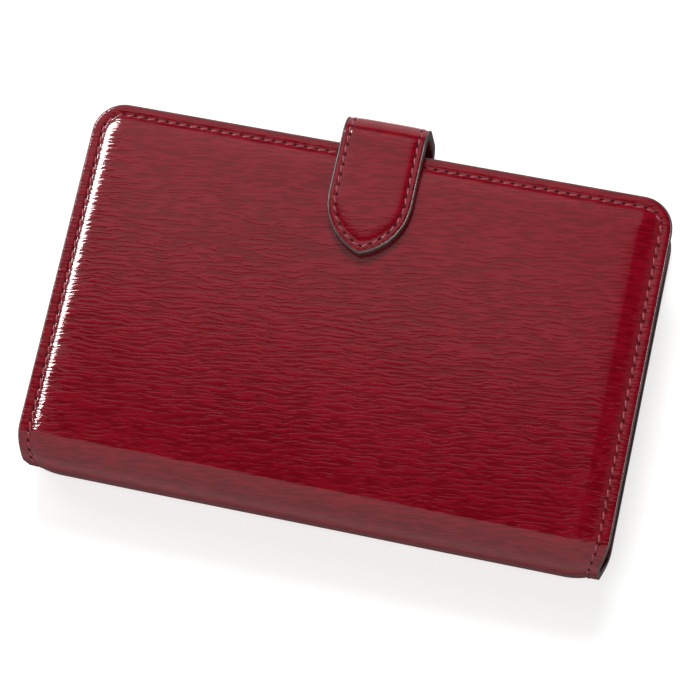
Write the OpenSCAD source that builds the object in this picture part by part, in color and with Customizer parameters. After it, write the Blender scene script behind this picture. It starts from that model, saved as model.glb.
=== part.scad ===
// Bifold wallet with a padded outer cover, a strap that goes over the free edge, and a zipped coin pouch.
// It lies closed on its back cover: X along the spine, +Y to the strap, +Z up through the front cover.
// The origin is the middle of the back cover's flat resting face.

/* [Overall] */
// Length along the spine
body_w = 165; // [130:1:210]
// Height from the spine to the free edge
body_h = 105; // [85:1:130]
// Thickness of the closed wallet, without the strap
body_d = 24; // [21:0.5:32]
// Radius of the two corners at the free edge
corner_r = 9; // [5:0.5:14]
// Outside radius of the two folds along the spine
bend_r = 9; // [6:0.5:10]

/* [Cover layers] */
// Outer leather
leather_t = 1.2; // [0.8:0.1:1.6]
// Height that the padded field stands above the sewn margin
pad_rise = 1.0; // [0.6:0.1:1.6]
// Stiffening board
board_t = 0.8; // [0.5:0.1:1.2]
// Lining
lining_t = 0.6; // [0.4:0.1:1]
// Sewn margin around the padded field
margin_w = 6; // [4.5:0.5:9]
// Painted edge
paint_t = 0.25; // [0.15:0.05:0.4]

/* [Seams] */
// Distance of a cover's stitches from its edge
seam_in = 3.2; // [2.2:0.1:4]
// Stitch length with its gap
stitch_pitch = 3.1; // [2.4:0.1:4]
// Thread width
thread_w = 0.6; // [0.4:0.1:0.8]
// Height of a stitch above the leather
thread_h = 0.25; // [0.1:0.05:0.4]

/* [Strap] */
// Strap width
strap_w = 23.6; // [18:0.2:30]
// Strap thickness
strap_t = 2.6; // [2.4:0.1:3.2]
// Lining under the tongue
tongue_lining_t = 0.8; // [0.6:0.1:1]
// Stiffener inside the tongue
tongue_board_t = 0.6; // [0.4:0.1:0.8]
// Length of the tongue on the front cover
tongue_l = 31.5; // [26:0.5:40]
// Length of the pointed arch at the tongue's end
arch_l = 16; // [13:0.5:20]
// Rounding of the tongue's tip
tip_r = 2; // [1:0.2:3]
// Outside radius of the strap's folds
strap_bend_r = 7; // [5:0.5:8]
// How far the strap stands out past the free edge
strap_reach = 8.5; // [8:0.5:12]
// Length of strap sewn in between the back cover's layers
anchor_l = 16.5; // [12:0.5:22]
// Gap between the tongue and the front cover
tongue_gap = 0.2; // [0.2:0.05:0.4]
// Distance of the tongue's stitches from its edge
tongue_seam_in = 2; // [1.6:0.1:3]

/* [Snap] */
// Distance of the snap from the free edge
snap_in = 17; // [14:0.5:20]
// Snap flange radius
snap_flange_r = 5; // [4:0.1:6]
// Snap stud radius
snap_stud_r = 2.8; // [2:0.1:3]
// Snap stud height
snap_stud_h = 1.1; // [0.9:0.05:1.1]
// Clearance around and above the stud
snap_gap = 0.3; // [0.25:0.05:0.4]

/* [Note pocket] */
// Clearance between the strap's anchor and the note pocket's panel
bill_clear = 0.2; // [0.2:0.1:1.2]
// Panel thickness
bill_panel_t = 0.7; // [0.5:0.1:1]
// Distance of the panel's open edge from the free edge
bill_in = 8.5; // [6:0.5:14]

/* [Coin pouch] */
// Distance of the pouch's sides from the wallet's sides
pouch_side_in = 10.5; // [8:0.5:20]
// Distance of the pouch's mouth from the free edge
pouch_mouth_in = 10.5; // [9.5:0.5:16]
// Distance of the pouch's floor from the spine
pouch_floor_in = 14.5; // [12:0.5:24]
// Space inside between the two walls
pouch_space = 7.2; // [7.2:0.2:10]
// Pouch wall
pouch_wall = 0.8; // [0.5:0.1:1]

/* [Zip] */
// Tape thickness
tape_t = 0.5; // [0.3:0.1:0.8]
// Space between the two tapes, which the teeth fill
tooth_h = 0.8; // [0.7:0.1:1]
// Distance from one tooth to the next on the same tape
tooth_pitch = 2.4; // [2:0.2:3]
// Slider length
slider_l = 8; // [7:0.5:10]
// Slider width
slider_w = 6.4; // [5.5:0.1:6.6]
// Slider plate thickness
slider_t = 0.8; // [0.6:0.1:1]
// Length of the pull tab
puller_l = 21; // [14:1:26]
// Width of the pull tab
puller_w = 5.6; // [4.5:0.1:6.5]
// Puller pin radius
puller_pin_r = 0.7; // [0.5:0.05:0.8]

/* [Card slots] */
// Card panel thickness
card_t = 0.55; // [0.4:0.05:0.6]
// Step from one card panel's mouth to the next
card_step = 15; // [11:1:18]
// Distance of the first mouth from the left side
card_first_in = 22.5; // [16:0.5:30]
// Distance of the card panels' foot from the right side
card_foot_in = 8.5; // [7:0.5:14]
// Distance of the card panels from the free edge
card_top_in = 3.5; // [1:0.5:6]
// Distance of the card panels from the spine
card_spine_in = 10.5; // [10:0.5:14]

/* [Hidden] */
$fn = 64;

patent_red = [0.45, 0.03, 0.08];
lining_red = [0.32, 0.05, 0.08];
thread_red = [0.5, 0.06, 0.1];
paint_brown = [0.2, 0.12, 0.11];
board_grey = [0.55, 0.5, 0.45];
foam_white = [0.85, 0.84, 0.8];
metal_gold = [0.8, 0.68, 0.42];

cut = 0.1;                                  // how far a cutting solid runs past the face it cuts
free_y = body_h / 2;
spine_y = -body_h / 2;
fold_y = spine_y + bend_r;                  // where a cover turns flat from the fold
cover_t = leather_t + pad_rise + board_t + lining_t;
board_z = leather_t + pad_rise;
lining_z = board_z + board_t;
pocket_in = margin_w + leather_t;           // the leather's own thickness inside the field's step

bill_z = board_z + strap_t + bill_clear;
bill_gap = bill_z - cover_t;
bill_hem = 2;
bill_side_in = 4.5;
bill_floor_in = 12.5;
pouch_z = bill_z + bill_panel_t;
pouch_x = body_w / 2 - pouch_side_in;
pouch_mouth_y = free_y - pouch_mouth_in;
pouch_floor_y = spine_y + pouch_floor_in;
gusset_t = 0.7;
pouch_inner_z = pouch_z + pouch_wall;
pouch_mid_z = pouch_inner_z + pouch_space / 2;

tape_lap = pouch_wall * 0.6;                // how far a tape lies on the end of its pouch wall
tape_h = pouch_space / 2 + tape_lap - tooth_h / 2;
tooth_w = tooth_pitch / 2 - 0.2;
tooth_d = tape_t + 0.7;
tooth_play = 0.05;
zip_end = pouch_x - 5;                      // where the stops stand, either side of the middle
stop_l = 1.5;
slider_x = zip_end - 2 - slider_l / 2;
slider_play = 0.4;                          // between the slider's plates and the teeth
wedge_l = 2.4;
wedge_t = tooth_h - 0.3;
teeth_from = -zip_end + stop_l + 1;
teeth_to = slider_x + slider_l / 2 - wedge_l - 1.2;
tooth_count = floor((teeth_to - teeth_from) / tooth_pitch);
tooth_y = pouch_mouth_y + tape_t / 2 - tooth_d / 2;
inner_plate_y = tooth_y - slider_play - slider_t;
outer_plate_y = tooth_y + tooth_d + slider_play;
bail_y = outer_plate_y + slider_t;
bail_gap = 2 * puller_pin_r + 0.6;          // the opening that the puller's pin turns in
bail_open = bail_gap + 1.2;
bail_t = 0.8;
bail_w = 1.6;
pin_y = bail_y + bail_gap / 2;
arm_t = 0.8;
arm_in = bail_w / 2 + 0.4;
arm_l = 6.5;
arm_r = bail_gap / 2 - 0.1;
tab_t = 1;

strap_y = free_y + strap_reach;
strap_fold_y = strap_y - strap_bend_r;
anchor_z = board_z;
tongue_z = body_d + tongue_gap;
tongue_leather_z = tongue_z + tongue_lining_t + tongue_board_t;
strap_top_z = tongue_z + strap_t;
tongue_tip_y = free_y - tongue_l;
notch_play = 0.3;
snap_y = free_y - snap_in;
flange_t = 0.4;
stud_post_r = 1.3;
washer_r = 4;
washer_t = 0.4;
washer_fit = 0.05;
socket_r = snap_stud_r + snap_gap + 2.4;
socket_fit = 0.1;
socket_lid = tongue_lining_t + tongue_board_t - snap_stud_h + tongue_gap - snap_gap / 2;

// Outline of a cover, moved in by inset on the three sewn sides; the spine's side stays open
module cover_outline(inset, floor_y = fold_y) {
    half = body_w / 2 - inset;
    top = free_y - inset;
    r = max(corner_r - inset, 0.5);
    translate([-half, floor_y]) square([2 * half, top - r - floor_y]);
    translate([-half + r, floor_y]) square([2 * half - 2 * r, top - floor_y]);
    for (side = [-1, 1]) translate([side * (half - r), top - r]) circle(r);
}

module cover_slab(inset, z, h, floor_y = fold_y) {
    translate([0, 0, z]) linear_extrude(h) cover_outline(inset, floor_y);
}

// What is drawn for the back cover, turned over to be the front cover
module as_front() {
    translate([0, 0, body_d]) mirror([0, 0, 1]) children();
}

module formed_leather() {
    difference() {
        union() {
            cover_slab(paint_t, pad_rise, leather_t);
            cover_slab(margin_w, 0, pad_rise + leather_t);
        }
        cover_slab(pocket_in, leather_t, pad_rise + cut, fold_y - cut);
    }
}

module padding() {
    cover_slab(pocket_in, leather_t, pad_rise);
}

module board() {
    cover_slab(paint_t, board_z, board_t);
}

module lining() {
    cover_slab(paint_t, lining_z, lining_t);
}

module edge_band() {
    difference() {
        cover_slab(0, pad_rise, cover_t - pad_rise);
        cover_slab(paint_t, pad_rise - cut, cover_t - pad_rise + 2 * cut, fold_y - cut);
    }
}

module stitch(length, h) {
    translate([-length / 2, -thread_w / 2, 0]) cube([length, thread_w, h]);
}

// Stitches laid end to end on a straight line from [x, y], at an angle
module stitch_row(x, y, angle, run) {
    count = floor(run / stitch_pitch);
    step = run / count;
    for (i = [0 : count - 1])
        translate([x, y, 0]) rotate(angle) translate([(i + 0.5) * step, 0, 0]) stitch(step * 0.74, thread_h);
}

// Stitches round an arc of radius r about [x, y], from one angle through a sweep
module stitch_arc(x, y, r, from, sweep) {
    run = r * abs(sweep) * PI / 180;
    count = max(1, floor(run / stitch_pitch));
    for (i = [0 : count - 1])
        translate([x, y, 0]) rotate(from + sweep * (i + 0.5) / count) translate([r, 0, 0])
            rotate(90) stitch(run / count * 0.7, thread_h);
}

module cover_stitching() {
    half = body_w / 2 - seam_in;
    top = free_y - seam_in;
    r = corner_r - seam_in;
    translate([0, 0, pad_rise - thread_h]) {
        for (side = [-1, 1]) {
            stitch_row(side * half, fold_y, 90, top - r - fold_y);
            stitch_arc(side * (half - r), top - r, r, side > 0 ? 0 : 90, 90);
        }
        stitch_row(-half + r, top, 0, 2 * (half - r));
    }
}

module anchor_notch() {
    width = strap_w + 2 * notch_play;
    translate([-width / 2, free_y - anchor_l - notch_play, board_z])
        cube([width, anchor_l + notch_play + cut, board_t + lining_t + cut]);
}

module back_leather() {
    color(patent_red) formed_leather();
}

module back_padding() {
    color(foam_white) padding();
}

module back_board() {
    color(board_grey) difference() {
        board();
        anchor_notch();
    }
}

module back_lining() {
    color(lining_red) difference() {
        lining();
        anchor_notch();
    }
}

module back_edge_paint() {
    color(paint_brown) difference() {
        edge_band();
        anchor_notch();
    }
}

module back_stitching() {
    color(thread_red) cover_stitching();
}

// A panel on three hems, open at the free edge
module bill_pocket_panel() {
    half = body_w / 2 - bill_side_in;
    low = spine_y + bill_floor_in;
    high = free_y - bill_in;
    color(patent_red) difference() {
        translate([-half, low, cover_t]) cube([2 * half, high - low, bill_gap + bill_panel_t]);
        translate([-half + bill_hem, low + bill_hem, cover_t - cut])
            cube([2 * (half - bill_hem), high - low, bill_gap + cut]);
        translate([-strap_w / 2 - notch_play, free_y - anchor_l - notch_play, cover_t - cut])
            cube([strap_w + 2 * notch_play, anchor_l, bill_gap + cut]);
    }
}

module pouch_panel(z) {
    translate([-pouch_x, pouch_floor_y, z])
        cube([2 * pouch_x, pouch_mouth_y - pouch_floor_y, pouch_wall]);
}

module coin_pouch_lower_wall() {
    color(lining_red) pouch_panel(pouch_z);
}

module coin_pouch_upper_wall() {
    color(lining_red) pouch_panel(pouch_inner_z + pouch_space);
}

module coin_pouch_gusset() {
    color(lining_red) difference() {
        translate([-pouch_x, pouch_floor_y, pouch_inner_z])
            cube([2 * pouch_x, pouch_mouth_y - pouch_floor_y, pouch_space]);
        translate([-pouch_x + gusset_t, pouch_floor_y + gusset_t, pouch_inner_z - cut])
            cube([2 * (pouch_x - gusset_t), pouch_mouth_y - pouch_floor_y, pouch_space + 2 * cut]);
    }
}

module tape(side) {
    z = side < 0 ? pouch_mid_z - tooth_h / 2 - tape_h : pouch_mid_z + tooth_h / 2;
    translate([-pouch_x, pouch_mouth_y, z]) cube([2 * pouch_x, tape_t, tape_h]);
}

module zip_tape_lower() {
    color(lining_red) tape(-1);
}

module zip_tape_upper() {
    color(lining_red) tape(1);
}

// One tape's teeth, offset by half a pitch from the other tape's
module teeth(side) {
    shift = side < 0 ? 0 : tooth_pitch / 2;
    z = pouch_mid_z - tooth_h / 2 + (side < 0 ? 0 : tooth_play);
    for (i = [0 : tooth_count - 1])
        translate([teeth_from + i * tooth_pitch + shift, tooth_y, z])
            cube([tooth_w, tooth_d, tooth_h - tooth_play]);
}

module zip_teeth_lower() {
    color(metal_gold) teeth(-1);
}

module zip_teeth_upper() {
    color(metal_gold) teeth(1);
}

module zip_stops() {
    y = pouch_mouth_y + tape_t;
    color(metal_gold) {
        for (side = [-1, 1])
            translate([zip_end, y, pouch_mid_z + side * (tooth_h / 2 + stop_l / 2) - stop_l / 2])
                cube([stop_l, slider_t, stop_l]);
        translate([-zip_end, y, pouch_mid_z - tooth_h / 2 - stop_l / 2])
            cube([stop_l, slider_t, tooth_h + stop_l]);
    }
}

module slider_plate(y) {
    translate([slider_x - slider_l / 2, y, pouch_mid_z - slider_w / 2]) cube([slider_l, slider_t, slider_w]);
}

module zip_slider() {
    color(metal_gold) {
        slider_plate(inner_plate_y);
        slider_plate(outer_plate_y);
        translate([slider_x + slider_l / 2 - wedge_l, inner_plate_y, pouch_mid_z - wedge_t / 2])
            cube([wedge_l, outer_plate_y + slider_t - inner_plate_y, wedge_t]);
        translate([slider_x, bail_y - slider_t / 2, pouch_mid_z - bail_w / 2]) difference() {
            translate([-bail_open / 2 - bail_t, 0, 0])
                cube([bail_open + 2 * bail_t, bail_gap + bail_t + slider_t / 2, bail_w]);
            translate([-bail_open / 2, slider_t / 2, -cut]) cube([bail_open, bail_gap, bail_w + 2 * cut]);
        }
    }
}

module puller_arm(z) {
    translate([slider_x, pin_y, z]) {
        cylinder(r = arm_r, h = arm_t);
        translate([-arm_l, -tab_t / 2, 0]) cube([arm_l, tab_t, arm_t]);
    }
}

module zip_puller() {
    far_x = slider_x - arm_l - puller_l + puller_w / 2;
    color(metal_gold) {
        translate([slider_x, pin_y, pouch_mid_z - arm_in - arm_t])
            cylinder(r = puller_pin_r, h = 2 * (arm_in + arm_t));
        puller_arm(pouch_mid_z - arm_in - arm_t);
        puller_arm(pouch_mid_z + arm_in);
        difference() {
            union() {
                translate([far_x, pin_y - tab_t / 2, pouch_mid_z - puller_w / 2])
                    cube([slider_x - arm_l + arm_t - far_x, tab_t, puller_w]);
                translate([far_x, pin_y + tab_t / 2, pouch_mid_z]) rotate([90, 0, 0])
                    cylinder(r = puller_w / 2, h = tab_t);
            }
            translate([far_x, pin_y + tab_t, pouch_mid_z]) rotate([90, 0, 0])
                cylinder(r = puller_w / 5, h = 2 * tab_t);
        }
    }
}

// A quarter of a ring about an axis along X, for a fold in a sheet
module quarter_fold(width, y, z, outer, t, from) {
    translate([-width / 2, y, z]) rotate([90, 0, 90])
        rotate(from) linear_extrude(width) intersection() {
            difference() {
                circle(outer);
                circle(outer - t);
            }
            square(outer + cut);
        }
}

module back_fold_leather() {
    color(patent_red)
        quarter_fold(body_w, fold_y, bend_r, bend_r, leather_t, 180);
}

module front_fold_leather() {
    color(patent_red)
        quarter_fold(body_w, fold_y, body_d - bend_r, bend_r, leather_t, 90);
}

module spine_leather() {
    color(patent_red) translate([-body_w / 2, spine_y, bend_r])
        cube([body_w, leather_t, body_d - 2 * bend_r]);
}

module spine_lining() {
    color(lining_red) translate([-body_w / 2 + margin_w, spine_y + leather_t, bend_r])
        cube([body_w - 2 * margin_w, lining_t, body_d - 2 * bend_r]);
}

module front_leather() {
    color(patent_red) difference() {
        as_front() formed_leather();
        translate([0, snap_y, body_d - flange_t]) cylinder(r = snap_flange_r, h = flange_t + cut);
        translate([0, snap_y, 0]) cylinder(r = stud_post_r, h = body_d);
    }
}

module front_padding() {
    color(foam_white) difference() {
        as_front() padding();
        translate([0, snap_y, 0]) cylinder(r = stud_post_r, h = body_d);
    }
}

module front_board() {
    color(board_grey) difference() {
        as_front() board();
        translate([0, snap_y, 0]) cylinder(r = stud_post_r, h = body_d);
        translate([0, snap_y, body_d - lining_z - cut]) cylinder(r = washer_r, h = washer_t + cut);
    }
}

module front_lining() {
    color(lining_red) as_front() lining();
}

module front_edge_paint() {
    color(paint_brown) as_front() edge_band();
}

module front_stitching() {
    color(thread_red) as_front() cover_stitching();
}

// Each card panel lies under the one before it and starts one step further on
module card_panel(index) {
    from = -body_w / 2 + card_first_in + index * card_step;
    low = spine_y + card_spine_in;
    color(patent_red) translate([from, low, body_d - cover_t - (index + 1) * card_t])
        cube([body_w / 2 - card_foot_in - from, free_y - card_top_in - low, card_t]);
}

module snap_stud() {
    color(metal_gold) {
        translate([0, snap_y, body_d - flange_t]) cylinder(r = snap_flange_r, h = flange_t);
        translate([0, snap_y, body_d - lining_z]) cylinder(r = stud_post_r, h = lining_z);
        translate([0, snap_y, body_d - flange_t]) cylinder(r = snap_stud_r, h = flange_t + snap_stud_h);
    }
}

module snap_stud_washer() {
    color(metal_gold) translate([0, snap_y, body_d - lining_z]) difference() {
        cylinder(r = washer_r, h = washer_t);
        translate([0, 0, -cut]) cylinder(r = stud_post_r + washer_fit, h = washer_t + 2 * cut);
    }
}

module strap_anchor() {
    color(patent_red) translate([-strap_w / 2, free_y - anchor_l, anchor_z])
        cube([strap_w, anchor_l + strap_reach - strap_bend_r, strap_t]);
}

module strap_lower_fold() {
    color(patent_red)
        quarter_fold(strap_w, strap_fold_y, anchor_z + strap_bend_r, strap_bend_r, strap_t, 270);
}

module strap_bridge() {
    low = anchor_z + strap_bend_r;
    color(patent_red) translate([-strap_w / 2, strap_y - strap_t, low])
        cube([strap_w, strap_t, strap_top_z - strap_bend_r - low]);
}

module strap_upper_fold() {
    color(patent_red)
        quarter_fold(strap_w, strap_fold_y, strap_top_z - strap_bend_r, strap_bend_r, strap_t, 0);
}

// The tongue's outline: parallel sides, then two arcs that meet in a rounded point
module tongue_outline(inset) {
    half = strap_w / 2;
    centre = (arch_l * arch_l - half * half) / (2 * half);
    r = centre + half;
    arch_y = tongue_tip_y + arch_l;
    tip = tip_r - inset;
    tip_y = sqrt((r - tip_r) * (r - tip_r) - centre * centre);
    tangent_y = tip_y * r / (r - tip_r);
    translate([-half + inset, arch_y]) square([2 * (half - inset), strap_fold_y - arch_y]);
    translate([0, arch_y - tip_y]) circle(tip);
    intersection() {
        translate([-centre, arch_y]) circle(r - inset);
        translate([centre, arch_y]) circle(r - inset);
        translate([-half, arch_y - tangent_y]) square([2 * half, tangent_y]);
    }
}

module tongue_slab(inset, z, h) {
    translate([0, 0, z]) linear_extrude(h) tongue_outline(inset);
}

module tongue_leather() {
    color(patent_red) tongue_slab(paint_t, tongue_leather_z, strap_t - tongue_lining_t - tongue_board_t);
}

module socket_hole() {
    translate([0, snap_y, tongue_z - cut])
        cylinder(r = socket_r + socket_fit, h = tongue_lining_t + tongue_board_t + cut);
}

module tongue_board() {
    color(board_grey) difference() {
        tongue_slab(paint_t, tongue_z + tongue_lining_t, tongue_board_t);
        socket_hole();
    }
}

module tongue_lining() {
    color(lining_red) difference() {
        tongue_slab(paint_t, tongue_z, tongue_lining_t);
        socket_hole();
    }
}

module tongue_edge_paint() {
    color(paint_brown) difference() {
        tongue_slab(0, tongue_z, strap_t);
        tongue_slab(paint_t, tongue_z - cut, strap_t + 2 * cut);
        translate([-strap_w / 2 + paint_t, strap_fold_y - cut, tongue_z - cut])
            cube([strap_w - 2 * paint_t, 2 * cut, strap_t + 2 * cut]);
    }
}

module tongue_stitching() {
    half = strap_w / 2;
    centre = (arch_l * arch_l - half * half) / (2 * half);
    r = centre + half;
    arch_y = tongue_tip_y + arch_l;
    seam_r = r - tongue_seam_in;
    sweep = acos(centre / seam_r) - asin(thread_w / seam_r);
    color(thread_red) translate([0, 0, strap_top_z]) for (side = [-1, 1]) {
        stitch_row(side * (half - tongue_seam_in), arch_y, 90, strap_fold_y - arch_y);
        stitch_arc(-side * centre, arch_y, seam_r, side > 0 ? 0 : 180, -side * sweep);
    }
}

module snap_socket() {
    color(metal_gold) translate([0, snap_y, tongue_z]) difference() {
        cylinder(r = socket_r, h = tongue_lining_t + tongue_board_t);
        translate([0, 0, -cut])
            cylinder(r = snap_stud_r + snap_gap, h = tongue_lining_t + tongue_board_t - socket_lid + cut);
    }
}

back_leather();
back_padding();
back_board();
back_lining();
back_edge_paint();
back_stitching();
bill_pocket_panel();
coin_pouch_lower_wall();
coin_pouch_upper_wall();
coin_pouch_gusset();
zip_tape_lower();
zip_tape_upper();
zip_teeth_lower();
zip_teeth_upper();
zip_stops();
zip_slider();
zip_puller();
back_fold_leather();
spine_leather();
spine_lining();
front_fold_leather();
front_leather();
front_padding();
front_board();
front_lining();
front_edge_paint();
front_stitching();
card_panel(0);  // card_panel_1
card_panel(1);  // card_panel_2
card_panel(2);  // card_panel_3
card_panel(3);  // card_panel_4
card_panel(4);  // card_panel_5
snap_stud();
snap_stud_washer();
strap_anchor();
strap_lower_fold();
strap_bridge();
strap_upper_fold();
tongue_leather();
tongue_board();
tongue_lining();
tongue_edge_paint();
tongue_stitching();
snap_socket();
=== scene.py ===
import math

import bmesh
import bpy
from mathutils import Matrix, Vector, noise


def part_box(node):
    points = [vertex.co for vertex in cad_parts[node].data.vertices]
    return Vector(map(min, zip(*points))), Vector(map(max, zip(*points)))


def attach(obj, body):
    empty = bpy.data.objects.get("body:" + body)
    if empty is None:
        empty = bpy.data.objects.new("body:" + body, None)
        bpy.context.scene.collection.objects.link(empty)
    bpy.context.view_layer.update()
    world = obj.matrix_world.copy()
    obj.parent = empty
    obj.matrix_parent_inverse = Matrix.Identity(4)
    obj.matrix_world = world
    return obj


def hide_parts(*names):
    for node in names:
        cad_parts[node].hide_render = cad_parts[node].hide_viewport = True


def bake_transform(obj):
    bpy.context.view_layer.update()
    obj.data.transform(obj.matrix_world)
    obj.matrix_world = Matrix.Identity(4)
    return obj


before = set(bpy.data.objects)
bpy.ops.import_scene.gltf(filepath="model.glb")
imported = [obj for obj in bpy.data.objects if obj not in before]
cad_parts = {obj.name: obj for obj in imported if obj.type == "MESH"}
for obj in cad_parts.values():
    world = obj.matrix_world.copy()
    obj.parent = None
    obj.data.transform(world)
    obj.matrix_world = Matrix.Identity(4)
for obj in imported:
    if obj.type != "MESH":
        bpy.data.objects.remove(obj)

mm = 0.001
tiny = 1e-7                                      # two places closer than this are one
noise.seed_set(5)                                # the stitches stray the same way each run
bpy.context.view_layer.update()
coverLow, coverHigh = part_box("front_edge_paint")
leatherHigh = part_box("front_leather")[1]
foldLow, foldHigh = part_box("front_fold_leather")
tongueLow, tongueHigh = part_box("tongue_edge_paint")
upperFoldLow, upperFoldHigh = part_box("strap_upper_fold")
bridgeLow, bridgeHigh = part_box("strap_bridge")

wallet = {
    "half": coverHigh.x,                         # half the length along the spine
    "freeY": coverHigh.y,
    "foldY": coverLow.y,                         # where the cover begins to bend to the spine
    "bend": coverLow.y - foldLow.y,
    "top": leatherHigh.z,
    "margin": coverHigh.z,                       # height of the sewn margin
    "cornerRadius": 9 * mm,
    "leather": 1.2 * mm,
    "paint": 0.25 * mm,
    "bandIn": 0.3 * mm,                          # how far in the painted band and the linings run
    "seamIn": 3.2 * mm,
    "pitch": 3.1 * mm,
    "pinch": 1.6 * mm,                           # how far each side draws in at the spine
}
strap = {
    "half": tongueHigh.x,
    "tipY": tongueLow.y,
    "foldY": tongueHigh.y,
    "bend": upperFoldHigh.y - upperFoldLow.y,
    "top": tongueHigh.z,
    "thick": bridgeHigh.y - bridgeLow.y,
    "middleZ": (bridgeLow.z + bridgeHigh.z) / 2,
    "arch": 16 * mm,
    "tipRadius": 2 * mm,
    "seamIn": 2 * mm,
    "leather": 1.2 * mm,
    "lining": 0.8 * mm,
    "paint": 0.25 * mm,
    "bandIn": 0.3 * mm,
    "edgeDrop": 0.2 * mm,
    "groove": 0.12 * mm,
    "puff": 0.25 * mm,
    "pitch": 2.9 * mm,
    "leatherRings": (0.35, 0.9, 1.5, 1.8, 2.1, 2.6, 3.4, 5.0),   # distances in from the edge, in mm
    "liningRings": (1.5, 4.0),
}


# Materials

class Wire:
    def __init__(self, tree, socket=None):
        self.tree, self.socket = tree, socket

    def make(self, kind, settings=None, inputs=None, out=0):
        node = self.tree.nodes.new(kind)
        for name, value in (settings or {}).items():
            setattr(node, name, value)
        for name, value in (inputs or {}).items():
            if isinstance(value, Wire):
                self.tree.links.new(value.socket, node.inputs[name])
            else:
                node.inputs[name].default_value = value
        return Wire(self.tree, node.outputs[out])

    def sum(self, operation, *values):
        return self.make("ShaderNodeMath", {"operation": operation}, dict(enumerate(values)))

    def __add__(self, other):
        return self.sum("ADD", self, other)

    def __radd__(self, other):
        return self.sum("ADD", other, self)

    def __sub__(self, other):
        return self.sum("SUBTRACT", self, other)

    def __rsub__(self, other):
        return self.sum("SUBTRACT", other, self)

    def __mul__(self, other):
        return self.sum("MULTIPLY", self, other)

    def __rmul__(self, other):
        return self.sum("MULTIPLY", other, self)

    def clamp(self, low, high, start=0, end=1):
        return self.make("ShaderNodeMapRange", {"interpolation_type": "SMOOTHSTEP"},
                         {0: self, 1: low, 2: high, 3: start, 4: end})

    def blend(self, first, second):              # this wire is the share of the second colour
        return self.make("ShaderNodeMix", {"data_type": "RGBA"}, {0: self, 6: first, 7: second}, 2)


def newMaterial(name, shader):
    material = bpy.data.materials.new(name)
    material.use_nodes = True
    tree = material.node_tree
    wire = Wire(tree)
    principled = tree.nodes["Principled BSDF"]
    place = wire.make("ShaderNodeTexCoord", out=3)
    for socket, value in shader(wire, place).items():
        if isinstance(value, Wire):
            tree.links.new(value.socket, principled.inputs[socket])
        else:
            principled.inputs[socket].default_value = value
    return material


def noiseAt(wire, place, size, turn=0, detail=2, rough=0.5, distortion=0, shift=(0, 0, 0)):
    # size: how large a feature is along each axis, in millimetres
    scale = [1000 / s for s in size]
    moved = wire.make("ShaderNodeMapping", {"vector_type": "TEXTURE"},
                      {0: place, 2: (0, 0, turn), 3: (1, 1, 1)})
    sized = wire.make("ShaderNodeMapping", {}, {0: moved, 1: shift, 3: scale})
    return wire.make("ShaderNodeTexNoise", {"noise_dimensions": "3D"},
                     {"Vector": sized, "Scale": 1.0, "Detail": detail, "Roughness": rough,
                      "Distortion": distortion})


def bump(wire, height, strength, distance):
    return wire.make("ShaderNodeBump", {}, {"Height": height, "Strength": strength, "Distance": distance})


patent = {
    "deep": (0.12, 0.0006, 0.0046, 1),
    "lively": (0.178, 0.0018, 0.0092, 1),
    "grainTurn": math.radians(7),
    "ridgeLong": 6.5,
    "ridgePitch": 0.72,
    "ridgeHeight": 0.0115 * mm,
    "fineHeight": 0.0009 * mm,
    "sway": 1.1,
}


def swayed(wire, place, amount, size):
    # moves the places up and down a little, so that the ridges wander
    drift = noiseAt(wire, place, (size, size, size), 0, 1, 0.5)
    offset = wire.make("ShaderNodeCombineXYZ", {},
                       {1: (drift - 0.5) * (amount * mm), 2: (drift - 0.5) * (amount * mm)})
    return wire.make("ShaderNodeVectorMath", {"operation": "ADD"}, {0: place, 1: offset})


def patentShader(wire, place):
    long, pitch, turn = patent["ridgeLong"], patent["ridgePitch"], patent["grainTurn"]
    bent = swayed(wire, place, patent["sway"] * 2, 9)
    ridges = noiseAt(wire, bent, (long, pitch, pitch), turn, 1.2, 0.45, 0.25)
    crossing = noiseAt(wire, bent, (long * 0.45, pitch * 0.5, pitch * 0.5), turn, 1, 0.5, 0.2, (7, 3, 1))
    fine = noiseAt(wire, place, (0.35, 0.3, 0.3), 0, 2, 0.6)
    cloud = noiseAt(wire, place, (38, 30, 30), 0, 2, 0.5, 0, (3, 5, 9))
    wave = ridges.clamp(0.32, 0.68)
    sideways = wire.sum("ABSOLUTE", wire.make("ShaderNodeSeparateXYZ", {}, {0: place}, 0))
    creased = sideways.clamp(0.067, 0.077, 1, 2.8)         # the leather wrinkles more where it rolls over
    height = (wave * 0.8 + crossing * 0.3) * creased + fine * (patent["fineHeight"] / patent["ridgeHeight"])
    # Base colour: random grain tone from cloud and fine, plus painted shade and painted highlight in lines
    # along the ridges (wave), standing in for how the ridges' reflection and shade change
    tone = wave * 0.5 + cloud * 0.35 + fine * 0.15
    return {
        "Base Color": tone.clamp(0.2, 0.8).blend(patent["deep"], patent["lively"]),
        "Roughness": 0.05 + 0.05 * cloud + 0.05 * fine,
        "Normal": bump(wire, height, 1.0, patent["ridgeHeight"]),
        "Specular IOR Level": 0.5,
    }


def pocketShader(wire, place):
    grain = noiseAt(wire, place, (5, 0.9, 0.9), patent["grainTurn"], 2, 0.5, 0.3)
    pebble = noiseAt(wire, place, (0.6, 0.5, 0.5), 0, 2, 0.6)
    cloud = noiseAt(wire, place, (25, 20, 20), 0, 2, 0.5)
    tone = grain * 0.35 + pebble * 0.25 + cloud * 0.4
    return {
        "Base Color": tone.clamp(0.25, 0.75).blend((0.11, 0.003, 0.008, 1), (0.2, 0.008, 0.017, 1)),
        "Roughness": 0.42 + 0.2 * pebble,
        "Normal": bump(wire, grain * 0.6 + pebble * 0.4, 0.9, 0.08 * mm),
        "Specular IOR Level": 0.35,
    }


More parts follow.
